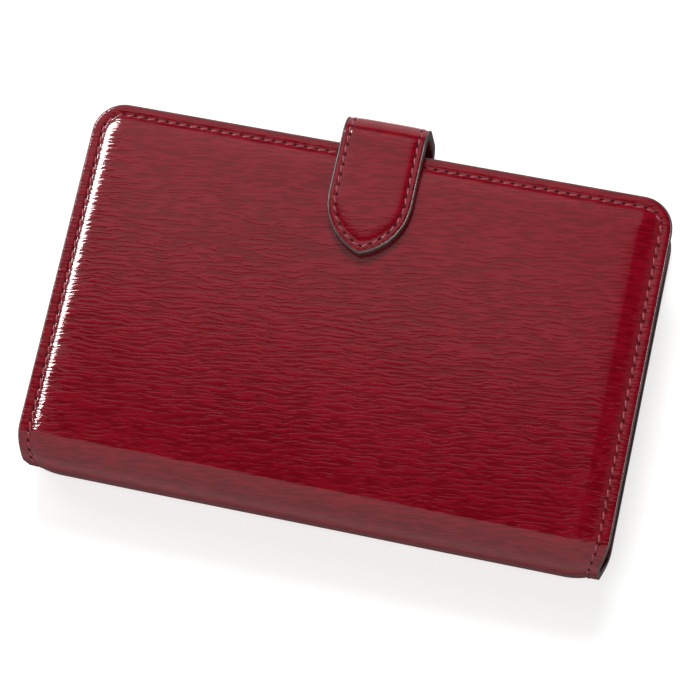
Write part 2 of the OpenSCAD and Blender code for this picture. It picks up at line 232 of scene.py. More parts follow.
def liningShader(wire, place):
    warp = wire.make("ShaderNodeTexWave", {"wave_type": "BANDS", "bands_direction": "X"},
                     {"Vector": place, "Scale": 700.0, "Distortion": 0.6, "Detail": 1.0})
    weft = wire.make("ShaderNodeTexWave", {"wave_type": "BANDS", "bands_direction": "Y"},
                     {"Vector": place, "Scale": 560.0, "Distortion": 0.6, "Detail": 1.0})
    slub = noiseAt(wire, place, (6, 0.5, 0.5), 0, 2, 0.6)
    weave = warp * 0.5 + weft * 0.5
    return {
        "Base Color": (weave * 0.6 + slub * 0.4).clamp(0.2, 0.8).blend((0.045, 0.002, 0.006, 1),
                                                                      (0.12, 0.006, 0.014, 1)),
        "Roughness": 0.7 + 0.2 * slub,
        "Normal": bump(wire, weave * 0.7 + slub * 0.3, 0.8, 0.07 * mm),
        "Sheen Weight": 0.08,
        "Specular IOR Level": 0.25,
    }


def paintShader(wire, place):
    lumps = noiseAt(wire, place, (3, 3, 3), 0, 2, 0.5)
    fine = noiseAt(wire, place, (0.4, 0.4, 0.4), 0, 2, 0.6)
    return {
        "Base Color": (lumps * 0.7 + fine * 0.3).clamp(0.3, 0.7).blend((0.032, 0.017, 0.016, 1),
                                                                       (0.075, 0.042, 0.04, 1)),
        "Roughness": 0.3 + 0.16 * fine,
        "Normal": bump(wire, lumps * 0.6 + fine * 0.4, 0.7, 0.08 * mm),
        "Coat Weight": 0.08,
        "Coat Roughness": 0.25,
    }


def threadShader(wire, place):
    twist = noiseAt(wire, place, (0.35, 0.12, 0.12), math.radians(35), 1, 0.5)
    tone = noiseAt(wire, place, (2.5, 2.5, 2.5), 0, 1, 0.5)
    return {
        "Base Color": (twist * 0.6 + tone * 0.4).clamp(0.3, 0.7).blend((0.12, 0.005, 0.011, 1),
                                                                       (0.3, 0.022, 0.036, 1)),
        "Roughness": 0.42 + 0.15 * twist,
        "Normal": bump(wire, twist, 0.9, 0.06 * mm),
        "Sheen Weight": 0.1,
    }


def holeShadeShader(wire, place):
    # painted shade: a near-black, slightly uneven colour standing in for the shade down inside a needle hole
    fibre = noiseAt(wire, place, (0.3, 0.3, 0.3), 0, 2, 0.6)
    return {
        "Base Color": fibre.blend((0.02, 0.001, 0.003, 1), (0.06, 0.003, 0.008, 1)),
        "Roughness": 0.8 + 0.1 * fibre,
        "Specular IOR Level": 0.1,
    }


def foamShader(wire, place):
    cells = noiseAt(wire, place, (0.8, 0.8, 0.8), 0, 3, 0.7)
    return {
        "Base Color": cells.blend((0.6, 0.57, 0.5, 1), (0.8, 0.78, 0.72, 1)),
        "Roughness": 0.85 + 0.1 * cells,
        "Normal": bump(wire, cells, 0.8, 0.2 * mm),
    }


def boardShader(wire, place):
    fibre = noiseAt(wire, place, (2.5, 0.5, 0.5), 0.4, 3, 0.6)
    return {
        "Base Color": fibre.blend((0.32, 0.27, 0.22, 1), (0.52, 0.47, 0.4, 1)),
        "Roughness": 0.8 + 0.12 * fibre,
        "Normal": bump(wire, fibre, 0.6, 0.08 * mm),
    }


def tapeShader(wire, place):
    rib = wire.make("ShaderNodeTexWave", {"wave_type": "BANDS", "bands_direction": "X"},
                    {"Vector": place, "Scale": 420.0, "Distortion": 0.4, "Detail": 1.0})
    fluff = noiseAt(wire, place, (0.8, 0.3, 0.3), 0, 2, 0.6)
    return {
        "Base Color": (rib * 0.6 + fluff * 0.4).clamp(0.2, 0.8).blend((0.07, 0.005, 0.01, 1),
                                                                     (0.17, 0.015, 0.025, 1)),
        "Roughness": 0.72 + 0.15 * fluff,
        "Normal": bump(wire, rib * 0.7 + fluff * 0.3, 0.9, 0.1 * mm),
        "Sheen Weight": 0.3,
    }


def goldShader(wire, place):
    brushed = noiseAt(wire, place, (4, 0.15, 0.15), 0, 2, 0.5)
    worn = noiseAt(wire, place, (3, 3, 3), 0, 3, 0.6)
    return {
        "Base Color": worn.clamp(0.3, 0.7).blend((0.72, 0.55, 0.3, 1), (0.86, 0.72, 0.46, 1)),
        "Metallic": 1.0,
        "Roughness": 0.16 + 0.12 * brushed + 0.08 * worn,
        "Normal": bump(wire, brushed * 0.6 + worn * 0.4, 0.35, 0.03 * mm),
    }


materials = {
    "patent_leather": newMaterial("patentLeather", patentShader),
    "pocket_leather": newMaterial("pocketLeather", pocketShader),
    "lining": newMaterial("liningCloth", liningShader),
    "edge_paint": newMaterial("edgePaint", paintShader),
    "thread": newMaterial("sewingThread", threadShader),
    "foam": newMaterial("foam", foamShader),
    "board": newMaterial("board", boardShader),
    "zip_tape": newMaterial("zipTape", tapeShader),
    "pale_gold_metal": newMaterial("paleGoldMetal", goldShader),
}
# painted shade for the needle holes, used on the flat discs at the stitch ends
needleHoleShade = newMaterial("needleHoleShade", holeShadeShader)
print("materials made:", len(materials) + 1)


# Helpers for modelling

def choose(*chosen):
    # selects these and nothing else, and makes the first the active one
    bpy.ops.object.select_all(action="DESELECT")
    for obj in chosen:
        obj.select_set(True)
    bpy.context.view_layer.objects.active = chosen[0]


def edit(obj):
    choose(obj)
    bpy.ops.object.mode_set(mode="EDIT")


def done():
    bpy.ops.object.mode_set(mode="OBJECT")


def pick(obj, kind, test):
    bpy.ops.mesh.select_mode(type=kind)
    bpy.ops.mesh.select_all(action="DESELECT")
    shape = bmesh.from_edit_mesh(obj.data)
    for item in {"VERT": shape.verts, "EDGE": shape.edges, "FACE": shape.faces}[kind]:
        if test(item):
            item.select_set(True)
    shape.select_flush_mode()
    bmesh.update_edit_mesh(obj.data)


def everything(item):
    return True


def middle(item):
    return sum((v.co for v in item.verts), Vector()) / len(item.verts)


def isCrosswise(edge):
    # an edge of the outline that runs from side to side
    return abs(edge.verts[0].co.y - edge.verts[1].co.y) < tiny


def limited(share):
    return max(0, min(1, share))


def addPlane(name, low, high, z=0):
    bpy.ops.object.select_all(action="DESELECT")
    bpy.ops.mesh.primitive_plane_add(size=1, location=((low[0] + high[0]) / 2, (low[1] + high[1]) / 2, z))
    obj = bpy.context.object
    obj.name = obj.data.name = name
    obj.scale = (high[0] - low[0], high[1] - low[1], 1)
    bpy.ops.object.transform_apply(location=True, rotation=True, scale=True)
    return obj


def cutAcross(obj, places, axis):
    for place in places:
        pick(obj, "FACE", everything)
        normal = Vector((0, 0, 0))
        normal[axis] = 1
        bpy.ops.mesh.bisect(plane_co=normal * place, plane_no=normal)


def cutAway(obj, point, normal):
    bpy.ops.mesh.select_all(action="SELECT")
    bpy.ops.mesh.bisect(plane_co=point, plane_no=normal, clear_outer=True)


def moveAll(obj, move):
    for vertex in obj.data.vertices:
        vertex.co = move(vertex.co)
    obj.data.update()


def addModifier(obj, kind, **values):
    choose(obj)
    modifier = obj.modifiers.new(kind.lower(), kind)
    for name, value in values.items():
        setattr(modifier, name, value)
    bpy.ops.object.modifier_apply(modifier=modifier.name)


def rounded(obj):
    addModifier(obj, "SUBSURF", levels=1, render_levels=1, boundary_smooth="PRESERVE_CORNERS")


def softEdges(obj, width, segments):
    addModifier(obj, "BEVEL", width=width, segments=segments, limit_method="ANGLE",
                angle_limit=math.radians(50))


def smooth(obj, angle=40):
    choose(obj)
    bpy.ops.object.shade_smooth_by_angle(angle=math.radians(angle))


def outwards(obj):
    edit(obj)
    bpy.ops.mesh.select_all(action="SELECT")
    bpy.ops.mesh.remove_doubles(threshold=0.004 * mm)
    bpy.ops.mesh.normals_make_consistent(inside=False)
    done()


def paintWith(obj, *names):
    obj.data.materials.clear()
    for name in names:
        obj.data.materials.append(materials[name] if name in materials else name)
    names[0] in materials


def turnOver(obj, height):
    # mirrors a piece of the front half into the back half, about the plane at half that height
    moveAll(obj, lambda p: Vector((p.x, p.y, height - p.z)))
    edit(obj)
    bpy.ops.mesh.select_all(action="SELECT")
    bpy.ops.mesh.flip_normals()
    done()


def copyOf(obj, name):
    twin = obj.copy()
    twin.data = obj.data.copy()
    twin.name = twin.data.name = name
    bpy.context.scene.collection.objects.link(twin)
    return twin


def foldOver(startY, side, top, radius):
    # bends what lies flat under z = top down a quarter turn that begins at startY
    def bent(p):
        run = (p.y - startY) * side
        if run <= 0:
            return p
        out = radius + p.z - top
        arc = radius * math.pi / 2
        angle = min(run, arc) / radius
        return Vector((p.x, startY + side * out * math.sin(angle),
                       top - radius + out * math.cos(angle) - max(0, run - arc)))
    return bent


def cutHole(obj, radius, place, low, high):
    bpy.ops.object.select_all(action="DESELECT")
    bpy.ops.mesh.primitive_cylinder_add(vertices=48, radius=radius, depth=high - low,
                                        location=(place.x, place.y, (low + high) / 2))
    cutter = bpy.context.object
    bpy.ops.object.transform_apply(location=True, rotation=True, scale=True)
    addModifier(obj, "BOOLEAN", object=cutter, operation="DIFFERENCE", solver="EXACT")
    bpy.data.objects.remove(cutter)


def pinched(p):
    # the sides draw in towards the spine
    t = limited((wallet["foldY"] + 1.5 * mm - p.y) / (13 * mm))
    share = 1 - wallet["pinch"] * t * t * (3 - 2 * t) / wallet["half"]
    return Vector((p.x * share, p.y, p.z))


def steps(first, last, count):
    return [first + (last - first) * i / count for i in range(count + 1)]


def roundBand(outline, inset, thick):
    # makes an open outline a band of that thickness, with round rims
    bpy.ops.object.convert(target="CURVE")
    band = outline.data
    band.dimensions = "3D"
    band.twist_mode = "Z_UP"
    band.bevel_depth, band.bevel_resolution = inset, 3
    band.extrude = thick / 2 - inset
    band.use_fill_caps = True
    bpy.ops.object.convert(target="MESH")
    return bpy.context.object


flatCoverFold = foldOver(wallet["foldY"], -1, wallet["top"], wallet["bend"])
coverFold = lambda p: flatCoverFold(pinched(p))
strapFold = foldOver(strap["foldY"], 1, strap["top"], strap["bend"])
coverFoldEnd = wallet["foldY"] - wallet["bend"] * math.pi / 2
strap["end"] = (strap["foldY"] + strap["bend"] * math.pi / 2
                + bridgeHigh.z - bridgeLow.z)    # the foot of the bridge


# Covers

cover = {
    "rings": [0.3, 1.3, 2.3, 2.9, 3.2, 3.5, 4.1, 5.0, 6.2, 7.4, 8.5],   # distances in from the edge, in mm
    "cutsAlong": (9.3, 11, 13, 16, 20, 26, 34, 44, 54, 66),             # from each side, in mm
    "cutsDeep": (9.3, 11, 13, 16, 20, 26, 34, 42, 50, 58, 66, 74, 80, 85, 90, 93),   # from the free edge
    "liningRings": (0.5, 2.4, 2.9, 3.4, 6),
    "liningTuck": 0.12 * mm,
    "bandNarrows": 0.29,                         # share of the edge's thickness lost over the fold
    "crownRun": 7 * mm,
    "groove": 0.22 * mm,
    "edgeDrop": 0.14 * mm,
    "wave": 0.05 * mm,
}


def coverPlane(name, inset, endY):
    half, free = wallet["half"] - inset, wallet["freeY"] - inset
    obj = addPlane(name, (-half, endY), (half, free))
    edit(obj)
    pick(obj, "VERT", lambda v: v.co.y > free - 0.1 * mm)
    bpy.ops.mesh.bevel(offset=wallet["cornerRadius"] - inset, segments=14, affect="VERTICES")
    return obj


def inFromEdge(x, y):
    radius = wallet["cornerRadius"] - wallet["paint"]
    ax = wallet["half"] - wallet["paint"] - abs(x)
    ay = wallet["freeY"] - wallet["paint"] - y
    if ax < radius and ay < radius:
        return radius - math.hypot(radius - ax, radius - ay)
    return min(ax, ay)


def held(y):
    # the seam's groove grows shallow over the fold
    return max(0.35, min(1, (y - wallet["foldY"]) / (4 * mm) + 1))


def crown(p):
    d = inFromEdge(p.x, p.y)
    seam = wallet["seamIn"] - wallet["paint"]
    rise = wallet["top"] - wallet["margin"]
    t = limited((d - seam - 0.4 * mm) / cover["crownRun"])
    z = wallet["margin"] + rise * (1 - (1 - t) ** 2.4)
    z -= cover["groove"] * held(p.y) * math.exp(-((d - seam) / (0.45 * mm)) ** 2)
    z -= cover["edgeDrop"] * max(0, 1 - d / (0.7 * mm)) ** 2
    z += cover["wave"] * t * noise.noise(Vector((p.x * 26, p.y * 22, 0.3)))
    return Vector((p.x, p.y, z))


def addRings(obj, rings, isInner):
    # insets the inner face again and again, at these distances in from the edge, in mm
    reached = 0
    for ring in rings:
        pick(obj, "FACE", isInner)
        bpy.ops.mesh.inset(thickness=ring * mm - reached, depth=0)
        reached = ring * mm


def isCoverField(face):
    return abs(middle(face).x) < 30 * mm and face.calc_area() > 0.004


def coverLeather(name):
    obj = coverPlane(name, wallet["paint"], coverFoldEnd - 20 * mm)
    addRings(obj, cover["rings"], isCoverField)
    cutAway(obj, (0, coverFoldEnd, 0), (0, -1, 0))
    half, free = wallet["half"], wallet["freeY"]
    cutAcross(obj, [sign * (half - cut * mm) for cut in cover["cutsAlong"] for sign in (-1, 1)] + [0], 0)
    cutAcross(obj, [free - cut * mm for cut in cover["cutsDeep"]], 1)
    cutAcross(obj, steps(wallet["foldY"] + 1 * mm, coverFoldEnd, 18), 1)
    done()
    moveAll(obj, crown)
    rounded(obj)
    moveAll(obj, coverFold)
    outwards(obj)
    addModifier(obj, "SOLIDIFY", thickness=wallet["leather"], offset=-1, use_even_offset=True,
                use_quality_normals=True)
    smooth(obj, 50)
    paintWith(obj, "patent_leather")
    return obj


def seamPath(inset, endY):
    # places and headings along a cover's seam, from the spine up round the free edge and back
    radius = wallet["cornerRadius"] - inset
    half, free = wallet["half"] - inset, wallet["freeY"] - inset
    side, corner, top = free - radius - endY, radius * math.pi / 2, 2 * (half - radius)
    length = 2 * side + 2 * corner + top

    def at(run):
        if run < side:
            return Vector((-half, endY + run, 0)), math.pi / 2
        run -= side
        if run < corner:
            turn = run / radius
            return (Vector((-half + radius - radius * math.cos(turn),
                            free - radius + radius * math.sin(turn), 0)), math.pi / 2 - turn)
        run -= corner
        if run < top:
            return Vector((-half + radius + run, free, 0)), 0
        run -= top
        if run < corner:
            turn = run / radius
            return (Vector((half - radius + radius * math.sin(turn),
                            free - radius + radius * math.cos(turn), 0)), -turn)
        return Vector((half, free - radius - (run - corner), 0)), -math.pi / 2
    return at, length


stitch = {
    "length": 2.55 * mm,
    "width": 0.62 * mm,
    "height": 0.42 * mm,
    "slant": math.radians(11),
    "endDip": 0.16 * mm,                         # how far its ends sink into the holes
    "hole": 1.15 * mm,
    "holeWidth": 0.62 * mm,
    "strayUp": 0.06 * mm,
    "straySideways": 0.1 * mm,
}


def oneStitch():
    bpy.ops.object.select_all(action="DESELECT")
    bpy.ops.mesh.primitive_uv_sphere_add(segments=8, ring_count=8, radius=0.5)
    thread = bpy.context.object
    edit(thread)
    bpy.ops.mesh.select_all(action="SELECT")
    bpy.ops.transform.rotate(value=math.pi / 2, orient_axis="Y", center_override=(0, 0, 0))
    bpy.ops.transform.resize(value=(stitch["length"], stitch["width"], stitch["height"]))
    done()
    moveAll(thread, lambda p: Vector((p.x, p.y, p.z - stitch["endDip"] * (2 * p.x / stitch["length"]) ** 4)))
    paintWith(thread, "thread", needleHoleShade)
    bpy.ops.object.select_all(action="DESELECT")
    # the needle hole is a flat disc in the hole material: painted shade in place of a real recess
    bpy.ops.mesh.primitive_cylinder_add(vertices=10, radius=0.5, depth=1)
    hole = bpy.context.object
    edit(hole)
    bpy.ops.mesh.select_all(action="SELECT")
    bpy.ops.transform.resize(value=(stitch["hole"], stitch["holeWidth"], 0.1 * mm))
    done()
    paintWith(hole, "thread", needleHoleShade)
    for face in hole.data.polygons:
        face.material_index = 1
    moveAll(hole, lambda p: Vector((p.x + wallet["pitch"] / 2, p.y, p.z)))
    choose(thread, hole)
    bpy.ops.object.join()
    smooth(thread, 60)
    return thread


def sew(name, at, length, pitch, z):
    count = round(length / pitch)
    placed = []
    for i in range(count):
        place, heading = at((i + 0.5) * length / count)
        stray = noise.noise_vector(Vector((i * 0.71, length * 100, 0.5)))
        twin = copyOf(stitchModel, f"{name}.{i}")
        twin.data.transform(Matrix.Translation((place.x, place.y, z + stray.z * stitch["strayUp"]))
                            @ Matrix.Rotation(heading + stitch["slant"] * (1 + 0.5 * stray.x), 4, "Z")
                            @ Matrix.Translation((0, stray.y * stitch["straySideways"], 0))
                            @ Matrix.Scale(length / count / wallet["pitch"], 4, Vector((1, 0, 0))))
        placed.append(twin)
    choose(*placed)
    bpy.ops.object.join()
    row = bpy.context.object
    row.name = row.data.name = name
    return row


def coverStitching(name):
    at, length = seamPath(wallet["seamIn"], coverFoldEnd + 1.2 * mm)
    row = sew(name, at, length, wallet["pitch"], wallet["margin"] + 0.1 * mm)
    moveAll(row, lambda p: coverFold(Vector((p.x, p.y, p.z - cover["groove"] * held(p.y)))))
    return row


def coverEdge(name):
    # the painted edge: a rounded band round the three sewn sides that narrows over the fold
    obj = coverPlane(name, wallet["bandIn"], coverFoldEnd)
    cutAcross(obj, steps(wallet["foldY"] + 4 * mm, coverFoldEnd, 16)[:-1], 1)
    pick(obj, "FACE", everything)
    bpy.ops.mesh.delete(type="ONLY_FACE")
    pick(obj, "EDGE", lambda edge: isCrosswise(edge) and middle(edge).y < wallet["freeY"] - 1 * mm)
    bpy.ops.mesh.delete(type="EDGE")
    done()
    thick = wallet["margin"] - coverLow.z
    obj = roundBand(obj, wallet["bandIn"], thick)
    top = wallet["margin"] - 0.03 * mm

    def placed(p):
        share = limited((wallet["foldY"] + 3 * mm - p.y) / (6 * mm))
        depth = (thick / 2 - p.z) * (1 - cover["bandNarrows"] * share)
        return coverFold(Vector((p.x, p.y, top - depth)))
    moveAll(obj, placed)
    outwards(obj)
    smooth(obj, 60)
    paintWith(obj, "edge_paint")
    return obj


def coverLining(name):
    obj = coverPlane(name, wallet["bandIn"], coverFoldEnd - 20 * mm)
    addRings(obj, cover["liningRings"], isCoverField)
    cutAway(obj, (0, coverFoldEnd, 0), (0, -1, 0))
    cutAcross(obj, steps(-wallet["half"] + 12 * mm, wallet["half"] - 12 * mm, 10), 0)
    cutAcross(obj, steps(wallet["foldY"] + 1 * mm, coverFoldEnd, 20)
              + steps(wallet["freeY"] - 12 * mm, wallet["foldY"] + 8 * mm, 6), 1)
    done()
    flat, turned = liningLow.z, wallet["top"] - wallet["leather"] - (liningHigh.z - liningLow.z)

    def level(p):
        t = limited((wallet["foldY"] - p.y) / (3 * mm))
        d = inFromEdge(p.x, p.y) + wallet["paint"]
        tuck = cover["liningTuck"] * math.exp(-((d - wallet["seamIn"]) / (0.5 * mm)) ** 2)
        return Vector((p.x, p.y, flat + (turned - flat) * t * t * (3 - 2 * t) + tuck))
    moveAll(obj, level)
    rounded(obj)
    addModifier(obj, "SOLIDIFY", thickness=liningHigh.z - liningLow.z - 0.04 * mm, offset=1)
    moveAll(obj, coverFold)
    outwards(obj)
    smooth(obj, 50)
    paintWith(obj, "lining")
    return obj


def liningStitching(name):
    at, length = seamPath(wallet["seamIn"], wallet["foldY"] + 1 * mm)
    row = sew(name, at, length, wallet["pitch"], 0)
    turnOver(row, liningLow.z)
    return row


liningLow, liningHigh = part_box("front_lining")
stitchModel = oneStitch()
backFoldLow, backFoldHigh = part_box("back_fold_leather")

frontLeather = coverLeather("frontCoverLeather")
frontStitching = coverStitching("frontCoverStitching")
frontEdge = coverEdge("frontCoverEdge")
frontLining = coverLining("frontCoverLining")
frontLiningSeam = liningStitching("frontLiningStitching")
backLining = copyOf(frontLining, "backCoverLining")
backLiningSeam = copyOf(frontLiningSeam, "backLiningStitching")
backLeather = copyOf(frontLeather, "backCoverLeather")
backStitching = copyOf(frontStitching, "backCoverStitching")
backEdge = copyOf(frontEdge, "backCoverEdge")
for piece in (backLeather, backStitching, backEdge, backLining, backLiningSeam):
    turnOver(piece, wallet["top"])
studLow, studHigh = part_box("snap_stud")
cutHole(frontLeather, studHigh.x + 0.05 * mm, (studLow + studHigh) / 2, wallet["top"] - 0.45 * mm,
        wallet["top"] + 1 * mm)
for piece, side, nodes in (
        (frontLeather, "front", ["front_leather", "front_fold_leather", "front_padding"]),
        (frontStitching, "front", ["front_stitching"]), (frontEdge, "front", ["front_edge_paint"]),
        (frontLining, "front", ["front_lining"]), (backLining, "back", ["back_lining"]),
        (backLeather, "back", ["back_leather", "back_fold_leather", "back_padding"]),
        (backStitching, "back", ["back_stitching"]), (backEdge, "back", ["back_edge_paint"])):
    if side == "front":
        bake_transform(piece)
    else:
        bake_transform(piece)
    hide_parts(*nodes)
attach(frontLiningSeam, "front_cover")
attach(backLiningSeam, "back_cover")
print("covers made")


# Spine

spine = {
    "insideHalf": (wallet["half"] - wallet["bandIn"]) * (1 - wallet["pinch"] / wallet["half"]),
    "cutsAlong": [10, 13, 20, 34, 54],           # from each side, in mm
    "edgeWide": 0.6 * mm,
    "edgeDeep": 1.84 * mm,
    "edgeRound": 0.28 * mm,
}


def spinePanel(name):
    low, high = backFoldHigh.z, foldLow.z
    half, y = wallet["half"] - wallet["paint"], foldLow.y
    obj = addPlane(name, (-half, low), (half, high))
    edit(obj)
    cutAcross(obj, [sign * (half - cut * mm)
                    for cut in cover["rings"] + spine["cutsAlong"] for sign in (-1, 1)] + [0], 0)
    cutAcross(obj, steps(low, high, 6)[1:-1], 1)
    done()

    def upright(p):
        flat = crown(Vector((p.x, 0, 0)))
        still = crown(Vector((p.x, 0.001, 0)))
        level = (flat.z + still.z) / 2 - wallet["top"]
        return Vector((p.x * (1 - wallet["pinch"] / wallet["half"]), y - level, p.y))
    moveAll(obj, upright)
    rounded(obj)
    addModifier(obj, "SOLIDIFY", thickness=wallet["leather"], offset=-1)
    smooth(obj, 50)
    paintWith(obj, "patent_leather")
    return obj


def spineInside(name):
    low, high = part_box("spine_lining")
    half = spine["insideHalf"]
    obj = addPlane(name, (-half, low.z), (half, high.z))
    edit(obj)
    cutAcross(obj, steps(-half, half, 16)[1:-1], 0)
    cutAcross(obj, steps(low.z, high.z, 4)[1:-1], 1)
    done()
    moveAll(obj, lambda p: Vector((p.x, low.y, p.y)))
    addModifier(obj, "SOLIDIFY", thickness=high.y - low.y, offset=-1)
    outwards(obj)
    smooth(obj, 40)
    paintWith(obj, "lining")
    return obj


def spineEnds(name):
    # the painted edge at each end of the spine, between the two folds
    outerY = foldLow.y + wallet["top"] - wallet["margin"] + 0.06 * mm
    y, z = outerY + spine["edgeDeep"] / 2, (backFoldHigh.z + foldLow.z) / 2
    ends = []
    for side in (-1, 1):
        bpy.ops.object.select_all(action="DESELECT")
        bpy.ops.mesh.primitive_cube_add(size=1, location=(side * spine["insideHalf"], y, z))
        end = bpy.context.object
        end.scale = (spine["edgeWide"], spine["edgeDeep"], foldLow.z - backFoldHigh.z + 0.1 * mm)
        bpy.ops.object.transform_apply(location=True, rotation=True, scale=True)
        edit(end)
        pick(end, "EDGE", lambda edge: abs(edge.verts[0].co.z - edge.verts[1].co.z) > 1 * mm)
        bpy.ops.mesh.bevel(offset=spine["edgeRound"], segments=3)
        done()
        ends.append(end)
    choose(*ends)
    bpy.ops.object.join()
    obj = ends[0]
    obj.name = obj.data.name = name
    outwards(obj)
    smooth(obj, 50)
    paintWith(obj, "edge_paint")
    return obj


spineLining = spineInside("spineLining")
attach(spineLining, "spine")
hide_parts("spine_lining")
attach(spineEnds("spineEdge"), "spine")
spineLeather = spinePanel("spineLeather")
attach(spineLeather, "spine")
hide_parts("spine_leather")
print("spine made")


# Strap

def archCentre():
    # how far past the strap's middle line the arch of the other side has its centre
    wide, arch = strap["half"], strap["arch"]
    return (arch * arch - wide * wide) / (2 * wide)


def strapPlane(name, inset):
    half, tipY = strap["half"] - inset, strap["tipY"] + inset
    obj = addPlane(name, (-half, tipY - 2 * mm), (half, strap["end"]))
    edit(obj)
    centre, cuts = archCentre(), 14
    radius = centre + strap["half"] - inset
    archY = strap["tipY"] - 0.1 * mm + strap["arch"]
    for i in range(1, cuts + 1):                 # each cut is a tangent of the arch
        turn = math.radians(70) * (i - 0.5) / cuts
        for side in (-1, 1):
            normal = Vector((side * math.cos(turn), -math.sin(turn), 0))
            cutAway(obj, Vector((-side * centre, archY, 0)) + normal * radius, normal)
    for turn in steps(-20, 20, 5):               # the tip is rounded
        normal = Vector((math.sin(math.radians(turn)), -math.cos(math.radians(turn)), 0))
        tip = Vector((0, strap["tipY"] + strap["tipRadius"], 0))
        cutAway(obj, tip + normal * (strap["tipRadius"] - inset), normal)
    return obj


def strapSlab(name, low, high, rings, start=None):
    # a strip of the strap from its tip, or from start, to its end, between two heights
    edge = strap["paint"]
    obj = strapPlane(name, edge) if start is None else strapStrip(name, edge, start)
    reached = 0
    for ring in rings:
        pick(obj, "FACE", lambda face: abs(middle(face).x) < 1 * mm and face.calc_area() > 1e-4)
        bpy.ops.mesh.inset(thickness=ring * mm - reached, depth=0, use_boundary=True)
        if ring > 0.5:
            bpy.ops.mesh.remove_doubles(threshold=0.3 * mm)
        reached = ring * mm
    cutAway(obj, (0, strap["end"], 0), (0, 1, 0))
    if start is not None:
        cutAway(obj, (0, start, 0), (0, -1, 0))
    cutAcross(obj, steps(strap["foldY"], strap["end"], 16)
              + [strap["tipY"] + share * mm for share in (17, 20, 25, 30)], 1)
    done()

    def pillow(p):
        d = strapIn(p) - edge
        soft = strap["edgeDrop"] * max(0, 1 - d / (0.9 * mm)) ** 2
        seam = strap["seamIn"] - edge
        groove = strap["groove"] * math.exp(-((d - seam) / (0.4 * mm)) ** 2)
        puff = strap["puff"] * limited((d - seam) / (3 * mm)) ** 0.7
        return Vector((p.x, p.y, high - soft - groove + puff - strap["puff"] * 0.4))
    moveAll(obj, pillow)
    rounded(obj)
    outwards(obj)
    addModifier(obj, "SOLIDIFY", thickness=high - low, offset=-1)
    moveAll(obj, strapFold)
    smooth(obj, 50)
    return obj


def strapStrip(name, inset, start):
    half = strap["half"] - inset
    obj = addPlane(name, (-half, start - 20 * mm), (half, strap["end"] + 20 * mm))
    edit(obj)
    return obj


def strapIn(p):
    # how far a point of the flat strap is in from its edge
    wide, archY = strap["half"], strap["tipY"] + strap["arch"]
    if p.y > archY:
        return wide - abs(p.x)
    return archCentre() + wide - math.hypot(abs(p.x) + archCentre(), p.y - archY)


def strapEdge(name, start=None):
    inset = strap["bandIn"]
    obj = strapPlane(name, inset) if start is None else strapStrip(name, inset, start)
    cutAway(obj, (0, strap["end"], 0), (0, 1, 0))
    if start is not None:
        cutAway(obj, (0, start, 0), (0, -1, 0))
    cutAcross(obj, steps(strap["foldY"] - 1 * mm, strap["end"], 18)[:-1], 1)
    pick(obj, "FACE", everything)
    bpy.ops.mesh.delete(type="ONLY_FACE")
    pick(obj, "EDGE", lambda edge: isCrosswise(edge) and middle(edge).y > strap["tipY"] + 3 * mm)
    bpy.ops.mesh.delete(type="EDGE")
    if start is not None:
        pick(obj, "EDGE", isCrosswise)
        bpy.ops.mesh.delete(type="EDGE")
    done()
    obj = roundBand(obj, inset, strap["thick"])
    moveAll(obj, lambda p: strapFold(Vector((p.x, p.y, p.z + strap["top"] - strap["thick"] / 2))))
    outwards(obj)
    smooth(obj, 60)
    paintWith(obj, "edge_paint")
    return obj


def tonguePath(end):
    # up one side of the strap, from its end to the arch's tip and back
    wide, inset, centre = strap["half"], strap["seamIn"], archCentre()
    radius = centre + wide - inset
    archY = strap["tipY"] + strap["arch"]
    sweep = math.acos(centre / radius)
    side, curve = end - archY, radius * sweep
    length = 2 * (side + curve)

    def at(run):
        mirror = 1 if run < length / 2 else -1
        near = run if run < length / 2 else length - run
        if near < side:
            place, heading = Vector((-(wide - inset), end - near, 0)), -math.pi / 2
        else:
            turn = (near - side) / radius
            place = Vector((centre - radius * math.cos(turn), archY - radius * math.sin(turn), 0))
            heading = -math.pi / 2 + turn
        if mirror < 0:
            place.x, heading = -place.x, -heading
        return place, heading
    return at, length


def strapStitching(name):
    at, length = tonguePath(strap["end"] - 1 * mm)
    row = sew(name, at, length, strap["pitch"], strap["top"] - 0.06 * mm)
    moveAll(row, strapFold)
    return row


def sideStitching(name, start):
    end = strap["end"] - 1 * mm
    run = end - start

    def at(distance):
        side = -1 if distance < run else 1
        return Vector((side * (strap["half"] - strap["seamIn"]), start + distance % run, 0)), math.pi / 2
    row = sew(name, at, 2 * run, strap["pitch"], strap["top"] - 0.06 * mm)
    moveAll(row, strapFold)
    return row


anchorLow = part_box("strap_anchor")[0]
socketLow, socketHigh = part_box("snap_socket")
socketPlace = (socketLow + socketHigh) / 2
strapHeight = strap["middleZ"] * 2
liningZ = strap["top"] - strap["thick"]

upperLeather = strapSlab("strapUpperLeather", strap["top"] - strap["leather"], strap["top"],
                         strap["leatherRings"])
paintWith(upperLeather, "patent_leather")
upperLining = strapSlab("strapUpperLining", liningZ, liningZ + strap["lining"], strap["liningRings"])
cutHole(upperLining, socketHigh.x + 0.1 * mm, socketPlace, socketLow.z - 1 * mm, socketHigh.z)
paintWith(upperLining, "pocket_leather")
upperEdge = strapEdge("strapUpperEdge")
upperStitching = strapStitching("strapUpperStitching")
strap["end"] = strap["foldY"] + strap["bend"] * math.pi / 2   # the lower half meets it there
lowerLeather = strapSlab("strapLowerLeather", strap["top"] - strap["leather"], strap["top"],
                         strap["leatherRings"], anchorLow.y)
paintWith(lowerLeather, "patent_leather")
lowerLining = strapSlab("strapLowerLining", liningZ, liningZ + strap["lining"], strap["liningRings"],
                        anchorLow.y)
paintWith(lowerLining, "pocket_leather")
lowerEdge = strapEdge("strapLowerEdge", wallet["freeY"] - 1 * mm)
lowerStitching = sideStitching("strapLowerStitching", wallet["freeY"] + 1.5 * mm)
for piece in (lowerLeather, lowerLining, lowerEdge, lowerStitching):
    turnOver(piece, strapHeight)
